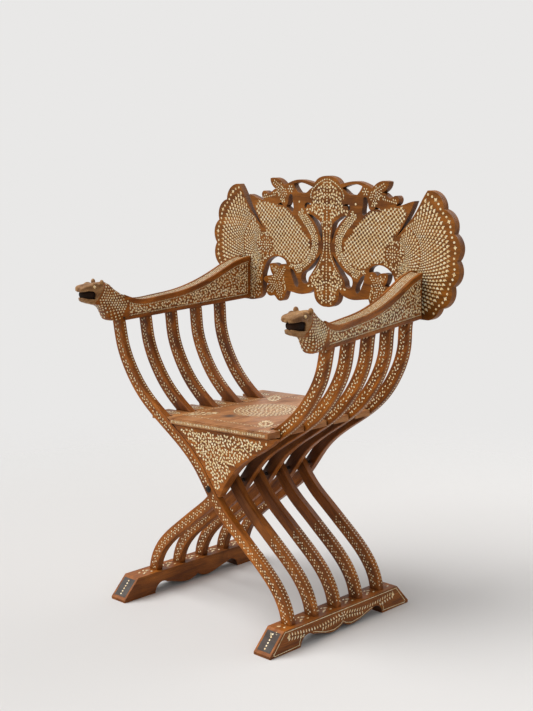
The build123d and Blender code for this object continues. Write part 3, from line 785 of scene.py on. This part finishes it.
# one half of the board in (x, z): the bird's body and breast, leaf lobes as (stalk, tip), and what lies round
# them
BODY = [(118, 903), (134, 912), (165, 918), (205, 924), (236, 930), (241, 914), (229, 893), (215, 872),
        (202, 857), (190, 845), (184, 820), (178, 802), (150, 794), (128, 781), (110, 777), (92, 780),
        (74, 788), (60, 798), (53, 815), (56, 832), (64, 846), (80, 862), (92, 875), (104, 890)]
BREAST = [(89, 906), (72, 887), (54, 869), (41, 849), (37, 828), (42, 807), (58, 785), (82, 769),
          (104, 764), (122, 768)]
LOBES = [((150, 960), (185, 981)), ((168, 952), (212, 943)), ((146, 958), (137, 934)),
         ((165, 735), (140, 770)), ((165, 735), (185, 766)), ((170, 730), (206, 730)),
         ((166, 728), (194, 700)), ((160, 728), (150, 686))]
LEAVES = [[(132, 968), (128, 945), (138, 925), (152, 928), (160, 945), (176, 962), (150, 976)],
          [(133, 706), (146, 684), (158, 684), (170, 694), (194, 692), (198, 716), (206, 732), (180, 742),
           (186, 768), (170, 770), (156, 760), (146, 770), (134, 768), (140, 740)]]
UNDER_WING = [(190, 845), (205, 852), (228, 838), (236, 800), (262, 775), (262, 678), (226, 684),
              (215, 700), (215, 745), (206, 772), (186, 790), (152, 796), (178, 802), (184, 820)]
STEM = [(0, 990), (14, 990), (28, 981), (42, 970), (50, 962), (57, 949), (58, 938), (53, 927), (66, 919),
        (68, 906), (52, 898), (40, 891), (24, 881), (19, 868), (15, 850), (13, 832), (16, 808), (24, 792),
        (33, 779), (44, 762), (64, 745), (67, 731), (50, 722), (40, 712), (38, 700), (33, 690), (20, 682),
        (0, 680)]
SHIELD_EDGE = [(8, 983), (24, 976), (38, 966), (48, 957), (52, 945), (50, 934)]
STEM_EDGE = [(15, 880), (11, 862), (9, 845), (8, 828), (11, 808), (18, 790), (28, 772), (42, 756)]


def herringbone(start, end, size=5.4, rows=(3.6, 9.4), pitch=6.4):
    """Paired slanting chips on both sides of a leaf's middle line."""
    marks = []
    for number, row in enumerate(rows):
        for side in (-1, 1):
            for a, b, angle in walk([start, end], pitch, offset=side * row, start=1.5 + number * pitch / 2):
                marks.append((a, b, angle + side * 0.75, leaf_chip(size, size * 0.52)))
    return marks


def fan_chips():
    """Comma chips in rings that grow towards the scalloped rim, with a star and four dots in each scallop."""
    marks = []
    # each zone's first radius, its last, and the angle from chip to chip
    for radius, last, cell in ((32.0, 76.0, 0.125), (78.0, FAN_NOTCHES - 13, 0.072)):
        ring_number = 0
        while radius < last:
            size = radius * cell
            for ray in range(int(FAN_SWEEP / cell)):
                turn = FIRST_RAY - (ray + 0.5 * (ring_number % 2)) * cell
                p, q = polar(turn, radius)
                if not inside(BODY, FAN[0] + p, FAN[1] + q):
                    marks.append((FAN[0] + p, FAN[1] + q, turn + 0.5, comma_chip(size, size * 0.6)))
            ring_number += 1
            radius *= 1 + cell * 0.95
    for scallop in range(-1, 7):
        for star in (-2, -1, 0, 1, 2):
            turn = FIRST_NOTCH - (scallop + 0.5 + star / 5) * SCALLOP
            p, q = polar(turn, FAN_NOTCHES - (2.5, 3.5, 6.5)[abs(star)])
            chip = star_chip(5.6) if star == 0 else round_chip(2.9, 8)
            marks.append((FAN[0] + p, FAN[1] + q, turn, chip))
    return marks


def diaper(outline, pitch=8.0):
    """Crossing lines of slivers with a bright dot on each crossing."""
    marks = []
    cosine, sine = polar(GRID_TURN)
    for row in GRID_ROWS:
        for column in GRID_COLUMNS:
            for p, q, angle, chip in ((0, 0, 0, round_chip(2.8, 8)), (0.5, 0, 0, bar_chip(3.0, 1.3)),
                                      (0, 0.5, math.pi / 2, bar_chip(3.0, 1.3))):
                u, v = (column + p) * pitch, (row + q) * pitch
                a, b = GRID_START[0] + u * cosine - v * sine, GRID_START[1] + u * sine + v * cosine
                if inside(outline, a, b):
                    marks.append((a, b, angle + GRID_TURN, chip))
    return marks


def inlay_board():
    """Two birds with fanned tails, mirrored about a leafy stem."""
    dress("back_board", WALNUT_BOARD)
    for node in ("back_key_left", "back_key_right"):
        dress(node, WALNUT_HIDDEN)
    dress("back_key_pegs", PEG_GRAIN)
    surface = Surface(NODES["back_board"])

    def sight(a, b):
        return Vector((a, BOARD_FRONT - STAND_OFF, b)), Y

    def outside_body(marks):
        return [mark for mark in marks if not inside(BODY, mark[0], mark[1])]

    half = spaced(fan_chips(), 2.5)
    half += rosette(*EYE, [(8.0, 8, leaf_chip(6.6, 3.6), math.pi / 2),
                           (16.5, 16, leaf_chip(6.0, 3.3), math.pi / 2)])
    inner = diaper(BODY) + outside_body(arabesque(UNDER_WING, 6.4, 6.8, seed=9))
    half += [mark for mark in inner if math.dist(mark[:2], EYE) > EYE_RADIUS]
    half += outside_body(feathered(BREAST, (-9.5, -4.0, 1.5, 7.0), 6.0, 6.6))
    leaves = [mark for start, end in LOBES for mark in herringbone(start, end)]
    for outline in LEAVES:
        leaves += arabesque(outline, 6.0, 6.4, seed=6)
    half += spaced(leaves, 4.4)
    stem = [(a, b, angle, leaf_chip(6.0, 3.2))
            for line in (SHIELD_EDGE, STEM_EDGE) for a, b, angle in walk(line, 6.6)]
    stem += [mark for mark in arabesque(STEM, 7.2, 8.4, seed=4) if mark[0] > 5.5]
    half += spaced(stem, 5.6)
    half += [(89, 928, 0.0, round_chip(2.7, 8))]
    half += rosette(118, 958, [(7.0, 6, leaf_chip(5.6, 2.9), math.pi / 2)])
    marks = half + [(-a, b, math.pi - angle, mirrored(chip)) for a, b, angle, chip in half]
    marks += [(0, z, 0.0, round_chip(2.2, 8)) for z in range(690, 985, 7)]
    set_chips("back_inlay", "back", lay(surface, sight, marks, margin=1.3))


# ---------------------------------------------------------------- arms
def arm_space(side, s, u, z):
    """A point of an arm: s behind its first slat, u outwards from its middle, z above the floor."""
    cosine, sine = polar(ARM_CLOSING)
    return Vector((side * (ARM_REACH - s * sine + u * cosine), FIRST_SLAT + s * cosine + u * sine, z))


def outwards(side):
    return (arm_space(side, 0, 1, 0) - arm_space(side, 0, 0, 0)).normalized()


def shell(made, rings):
    """Closed skin over a row of rings with as many points each, capped at both ends. Points are in mm."""
    rows = [[made.verts.new(point * MM) for point in ring_points] for ring_points in rings]
    for row, following in zip(rows, rows[1:]):
        for i in range(len(row)):
            j = (i + 1) % len(row)
            made.faces.new((row[i], row[j], following[j], following[i]))
    made.faces.new(rows[0][::-1])
    made.faces.new(rows[-1])


def mesh_of(name, made):
    bmesh.ops.recalc_face_normals(made, faces=made.faces)
    data = bpy.data.meshes.new(name)
    made.to_mesh(data)
    made.free()
    return data


def applied(data, settings):
    """A mesh after modifiers, given as (kind, settings) pairs."""
    helper = stand("helper", data)
    for kind, values in settings:
        modifier = helper.modifiers.new(kind.lower(), kind)
        for key, value in values.items():
            setattr(modifier, key, value)
    view = helper.evaluated_get(bpy.context.evaluated_depsgraph_get())
    result = bpy.data.meshes.new_from_object(view)
    bpy.data.objects.remove(helper)
    return result


def arm_section(low, high):
    """Right half of the arm's section, from the middle of its underside to the middle of its top: a plain
    strip below, a sunk side panel, and a moulding along the top that stands proud of both."""
    return [(0, low), (18.6, low), (20, low + 1.4), (20, low + 7.2), (19.2, low + 7.8),
            (19.2, high - 10.6), (20, high - 10.0), (20, high - 1.4), (18.8, high), (14.4, high),
            (13.7, high - 1.3), (0, high - 1.3)]


OVERHEAD = 1500.0                # above the whole chair


class ArmShape:
    """Underside and top of an arm along its length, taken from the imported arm."""

    def __init__(self, side):
        self.side = side
        self.surface = Surface(NODES["arm_right" if side > 0 else "arm_left"])

    def heights(self, s):
        """Measured beside the slats, a little to one side of a line of sight that slips between two faces."""
        s = min(s, ARM_LENGTH - 3)
        for inner in (-15.6, -15.3, -15.9):
            low = self.surface.meet(arm_space(self.side, s, inner, 0), Z)
            high = self.surface.meet(arm_space(self.side, s, inner, OVERHEAD), -Z)
            if low and high:
                return low[0].z, high[0].z
        raise ValueError("the packed arm isn't met here")

    def ring_points(self, s):
        """The arm's section at s; the last one is cut off square to the back board."""
        half = arm_section(*self.heights(s))
        loop = half + [(-u, z) for u, z in reversed(half[1:-1])]
        points = []
        for u, z in loop:
            reach = s
            if s >= ARM_LENGTH:
                reach = (ARM_REAR - FIRST_SLAT - u * math.sin(ARM_CLOSING)) / math.cos(ARM_CLOSING)
            points.append(arm_space(self.side, reach, u, z))
        return points


KEY_GAP = 0.4                    # room round a key in its groove
KEY_FLARE = 3.0                  # a key is slimmer at its outer face by this much on each side


def key_groove(side):
    """Dovetail groove in the arm's rear end for the back's key, a little larger than the key. The right one
    is open outwards and below, so that the right arm can leave its key."""
    node = "back_key_right" if side > 0 else "back_key_left"
    low, high = corners(node)
    middle = centre(node)[0]
    wide = (high[0] - low[0]) / 2 + KEY_GAP
    slim = wide - KEY_FLARE
    open_out, bottom = (60, 500) if side > 0 else (0, low[2] - KEY_GAP)
    rear = ARM_REAR + 5
    plan = [(middle - wide, low[1] - KEY_GAP), (middle + wide + open_out, low[1] - KEY_GAP),
            (middle + slim + open_out, rear), (middle - slim, rear)]
    made = bmesh.new()
    shell(made, [[Vector((x, y, z)) for x, y in plan] for z in (bottom, high[2] + 60)])
    return mesh_of("key_groove", made)


def arm_piece(side, name, body):
    """The arm behind its neck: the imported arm's line with its panels and moulding."""
    shape = ArmShape(side)
    made = bmesh.new()
    steps = int((ARM_LENGTH - ARM_FRONT) / 4)
    shell(made, [shape.ring_points(ARM_FRONT + (ARM_LENGTH - ARM_FRONT) * step / steps)
                 for step in range(steps + 1)])
    cutter = stand("cutter", key_groove(side))
    groove = ("BOOLEAN", {"object": cutter, "operation": "DIFFERENCE", "solver": "EXACT"})
    data = applied(mesh_of(name, made), [groove])
    bpy.data.objects.remove(cutter)
    piece = place_piece(name, data, body, [WALNUT_ARMS])
    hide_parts("arm_right" if side > 0 else "arm_left")
    inlay_arm(side, shape, piece, body)


def inlay_arm(side, shape, piece, body):
    """Leafwork between rows of dots on both sides, and herringbone slivers along the top."""
    surface = Surface(piece)
    first, last, pitch, dot = ARM_FRONT + 4, ARM_LENGTH - 9, 4.4, round_chip(1.45)
    stations = [first + (last - first) * step / 60 for step in range(61)]
    lows = Run([(s, shape.heights(s)[0]) for s in stations])
    highs = Run([(s, shape.heights(s)[1]) for s in stations])
    rear = [(last, lows.points[-1][1] + 12), (last, highs.points[-1][1] - 14)]
    rows = walk(lows.points, pitch, 10.4) + walk(highs.points, pitch, -13.4) + walk(rear, pitch)
    panel = [(s, z + 14.5) for s, z in lows.points] + [(s, z - 17.5) for s, z in reversed(highs.points)]
    marks = [(s, z, angle, dot) for s, z, angle in rows]
    marks += arabesque([(min(s, last - 4), z) for s, z in panel], 6.6, 8.2, seed=21)
    chips = []
    for face in (-1, 1):
        look = -outwards(side) * face

        def sight(a, b):
            return arm_space(side, a, 0, b) - look * 3 * STAND_OFF, look

        chips += lay(surface, sight, marks, margin=0.1, sag=0.6)

    crest = Run(highs.points)

    def top_sight(a, b):
        place, along = crest.at(a)
        level = arm_space(side, place.x, b, place.z)
        over = arm_space(side, place.x - along.z * 2 * STAND_OFF, b, place.z + along.x * 2 * STAND_OFF)
        return over, (level - over).normalized()

    slivers = []
    for step in range(int(crest.length / pitch)):
        for column in range(-2, 3):
            tilt = 0.62 if column % 2 else -0.62
            slivers.append((3 + step * pitch, column * 4.9, math.pi / 2 + tilt, bar_chip(4.3, 1.7)))
    chips += lay(surface, top_sight, slivers, margin=0.1)
    set_chips(f"{piece.name}_inlay", body, chips)


# ---------------------------------------------------------------- beasts' heads
def oval(side, s, low, high, half_width, square, sides=24):
    """Ring across the head at s; square is 2 for an ellipse and more for a boxy section."""
    points = []
    for i in range(sides):
        turn = 2 * math.pi * (i + 0.5) / sides
        across, up = (math.copysign(abs(share) ** (2 / square), share) for share in polar(turn))
        points.append(head_space(side, s, half_width * across, (low + high) / 2 + (high - low) / 2 * up))
    return points


def ball(side, s, u, z, radii, sides=16, rings=10):
    """Ellipsoid as a row of rings along s; radii are along s, u and z."""
    rows = []
    for step in range(1, rings):
        turn = math.pi * step / rings
        reach, share = s - radii[0] * math.cos(turn), math.sin(turn)
        around = [2 * math.pi * i / sides for i in range(sides)]
        rows.append([head_space(side, reach, u + radii[1] * share * math.cos(at),
                                z + radii[2] * share * math.sin(at)) for at in around])
    return rows


HEAD_BACK = {-1: 0.0, 1: 12.0}   # the right head was carved a little further back and lower than the left one
HEAD_DROP = {-1: 2.0, 1: 10.0}
NECK_REACH = 50.0                # from where the arm ends to where this difference is whole

# neck, upper and lower jaw as rings: s, lowest, highest, half width, squareness
NECK_RINGS = [(19.5, 657, 711, 19.6, 7), (12, 656, 713.5, 20.1, 7), (0, 655.5, 719, 20.4, 4.4),
              (-18, 656.5, 732, 20.4, 3.4), (-32, 659, 746, 20.6, 3), (-42, 662.5, 751, 21.5, 2.8),
              (-50, 682, 752, 23, 2.5), (-58, 692, 752, 24, 2.4), (-69, 700, 751, 24, 2.4),
              (-76, 707, 748, 21, 2.2)]
MUZZLE_RINGS = [(-64.5, 728, 751.5, 23.5, 2.4), (-74, 736, 750.5, 23, 2.6), (-84, 738, 749.5, 22.5, 3),
                (-94, 737, 748.5, 22, 3.4), (-102, 736.5, 747, 21, 3.4), (-107, 736, 745, 18.5, 2.8),
                (-110.5, 736, 743, 14, 2)]
JAW_RINGS = [(-58.5, 696, 713, 21, 2.4), (-73.5, 700, 712, 20, 2.8), (-87.5, 703.5, 711, 18.5, 2.8),
             (-97.5, 707, 712.5, 16.5, 2.8), (-103, 710.5, 714, 12, 2)]
# edges of the open mouth, from its corner to its middle in front: s, u, z
UPPER_LIP = [(-68, 20.5, 717), (-73, 21, 728), (-80, 21.3, 735.5), (-94, 21.3, 738), (-103, 18.5, 737),
             (-107.5, 12, 735.5), (-109, 0, 734)]
LOWER_LIP = [(-66, 20, 714), (-82, 19, 713), (-94, 16.5, 714), (-101, 10.5, 716), (-103.5, 0, 717.5)]
LIP = (3.4, 3.0, 3.0)
# what swells from the head on both sides, as place and radii: ears, brows, mouth corners, cheeks, nostrils
SWELLINGS = [((-58, 18.5, 751.5), (4.6, 6.6, 7.6)), ((-76, 15.5, 747.5), (9.0, 6.4, 5.0)),
             ((-63, 19.5, 722), (9, 4.8, 12)), ((-76, 18.5, 740), (12, 5.0, 6.0)),
             ((-106, 7.5, 742), (5.0, 5.0, 3.4))]
NOSE = ((-92, 0, 746), (14, 8.0, 4.0))
# the near black ball in the open mouth, painted shade for its hollow: place and radii
MOUTH_FILL = ((-83, 0, 725.5), (24.0, 18.4, 15.0))
EYE_BALL = ((-80, 21.6, 743.5), (4.2, 2.6, 3.6))
# the neck's middle line as (s, z), along which its dots are told off
NECK_LINE = [(ARM_FRONT - 1, 686), (-12.5, 695), (-34.5, 708), (-56.5, 724), (-62.5, 728)]
NECK_GIRTH = 27.0                # radius round which the neck's dots are told off
NECK_SIGHT = 90.0                # lines of sight start this far from the neck's middle line
NECK_PITCH = 6.6
NECK_COLUMNS = 22


def head_space(side, s, u, z):
    """A point of a beast's head, told off as in arm_space and moved to where that head stands."""
    share = min(1.0, max(0.0, (ARM_FRONT - s) / NECK_REACH))
    return arm_space(side, s + HEAD_BACK[side] * share, u, z - HEAD_DROP[side] * share)


def lip(side, line):
    """Balls in a close row along one half of a mouth's edge, and the same on the other half."""
    for start, end in zip(line, line[1:]):
        for share in (0.0, 0.33, 0.67):
            s, u, z = (low + (high - low) * share for low, high in zip(start, end))
            for way in (-1, 1):
                yield ball(side, s, way * u, z, LIP, sides=10, rings=8)


def head_skin(side, name):
    """Neck, jaws, lips, ears, brows and nose grown into one rounded skin."""
    made = bmesh.new()
    for rows in (NECK_RINGS, MUZZLE_RINGS, JAW_RINGS):
        shell(made, [oval(side, *row) for row in rows])
    for line in (UPPER_LIP, LOWER_LIP):
        for rows in lip(side, line):
            shell(made, rows)
    for (s, u, z), radii in SWELLINGS:
        for way in (-1, 1):
            shell(made, ball(side, s, way * u, z, radii))
    shell(made, ball(side, *NOSE[0], NOSE[1]))
    data = applied(mesh_of(name, made), [("REMESH", {"mode": "VOXEL", "voxel_size": 1.25 * MM}),
                                         ("SMOOTH", {"factor": 0.6, "iterations": 5})])
    data.shade_smooth()
    return data


def small_balls(name, body, material, shapes):
    """Smooth balls as one piece of a head."""
    made = bmesh.new()
    for rows in shapes:
        shell(made, rows)
    data = mesh_of(name, made)
    data.shade_smooth()
    place_piece(name, data, body, [material])


def beast_head(side, name, body):
    """Beast with small upright ears and its wide mouth open, carved in one with the arm's front end. Its neck
    is waxed like the arm and set with dots, its face worn pale by hands. A near black ball inside the mouth
    is painted shade for its hollow."""
    data = head_skin(side, name)
    head = place_piece(name, data, body, [WALNUT_ARMS, WALNUT_HEADS])
    axis = Run(NECK_LINE)
    end, forwards = axis.at(axis.length)
    root = head_space(side, end.x, 0, end.z)
    ahead = head_space(side, end.x + forwards.x, 0, end.z + forwards.z) - root
    kinds = [int((face.center / MM - root).dot(ahead) > 0) for face in data.polygons]
    data.polygons.foreach_set("material_index", kinds)
    # painted shade: a near black ball fills the open mouth in place of the shade inside it
    small_balls(f"{name}_mouth", body, MOUTH_SHADE, [ball(side, *MOUTH_FILL[0], MOUTH_FILL[1])])
    (s, u, z), radii = EYE_BALL
    eyes = [ball(side, s, way * u, z, radii, sides=12, rings=8) for way in (-1, 1)]
    small_balls(f"{name}_eyes", body, BONE, eyes)

    surface = Surface(head)

    def sight(a, b):
        """a runs along the neck and b round it, from its nape."""
        place, along = axis.at(a)
        sink, out = polar(b / NECK_GIRTH, NECK_SIGHT)
        middle = head_space(side, place.x, 0, place.z)
        start = middle + arm_space(side, along.z * sink, out, -along.x * sink) - arm_space(side, 0, 0, 0)
        return start, (middle - start).normalized()

    marks = []
    for row in range(int(axis.length / NECK_PITCH) + 1):
        for column in range(NECK_COLUMNS):
            b = (column + 0.5 * (row % 2)) * 2 * math.pi * NECK_GIRTH / NECK_COLUMNS
            marks.append((row * NECK_PITCH, b, 0.0, round_chip(2.3, 8)))
    set_chips(f"{name}_inlay", body, lay(surface, sight, marks, margin=0.1, sag=1.2))


# ---------------------------------------------------------------- the whole chair
def plain_parts():
    """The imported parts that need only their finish."""
    for node in ("arm_pegs_left", "arm_pegs_right", "foot_pegs_left", "foot_pegs_right"):
        dress(node, PEG_GRAIN)
    for node in ("pivot_rod", "pivot_washers", "seat_hinge_rod", "seat_rest_rod"):
        dress(node, IRON)


def pale_floor():
    made = bmesh.new()
    bmesh.ops.create_grid(made, x_segments=2, y_segments=2, size=8.0)
    data = bpy.data.meshes.new("studio_floor")
    made.to_mesh(data)
    made.free()
    data.materials.append(matt_floor_paint())
    floor = stand("studio_floor", data)


def pale_room():
    """Even pale surroundings, as bright as they look only to the camera and in reflections."""
    world = bpy.data.worlds.new("pale_room")
    world.use_nodes = True
    tree = world.node_tree
    tree.nodes.clear()
    path = add_node(tree, "LightPath").outputs
    seen = path["Is Camera Ray"]
    for kind in ("Is Glossy Ray", "Is Transmission Ray"):
        seen = add_node(tree, "Math", {"operation": "MAXIMUM"}, {0: seen, 1: path[kind]}).outputs[0]
    strength = add_node(tree, "MapRange", {1: 0.0, 2: 1.0, 3: 0.34, 4: 1.0}, {0: seen}).outputs[0]
    room = add_node(tree, "Background", {"Color": colour("e9e8e7")}, {"Strength": strength})
    add_node(tree, "OutputWorld", links={"Surface": room.outputs[0]})
    bpy.context.scene.world = world


def lamps():
    """A wide soft light from the upper left in front, a weak one at the right and one behind."""
    window = bpy.data.lights.new("window", "SUN")
    window.energy = 2.8
    window.angle = math.radians(50)
    carrier = stand("window", window)
    carrier.rotation_euler = Vector((0.48, 0.52, -0.92)).to_track_quat("-Z", "Y").to_euler()
    for name, place, watts in (("fill_lamp", (2.8, -1.6, 1.6), 16.0), ("rear_lamp", (0.6, 3.0, 2.4), 22.0)):
        lamp = bpy.data.lights.new(name, "AREA")
        lamp.size = 2.0
        lamp.energy = watts
        carrier = stand(name, lamp)
        carrier.location = place
        carrier.rotation_euler = (Vector((0, 0, 0.5)) - Vector(place)).to_track_quat("-Z", "Y").to_euler()


def camera():
    lens = bpy.data.cameras.new("camera")
    lens.lens = 63.9
    lens.sensor_width = 36.0
    carrier = stand("camera", lens)
    carrier.location = (1.9915, -2.0314, 1.0795)
    carrier.rotation_euler = (math.radians(80.23), 0.0, math.radians(43.97))
    bpy.context.scene.camera = carrier
    bpy.context.scene.view_settings.view_transform = "Standard"


inlay_slats()
inlay_feet()
inlay_seat()
inlay_apron()
inlay_board()
plain_parts()
for side, body, word in ((-1, "frame_a", "left"), (1, "frame_b", "right")):
    arm_piece(side, f"arm_{word}_carved", body)
    beast_head(side, f"beast_head_{word}", body)
pale_floor()
pale_room()
lamps()
camera()
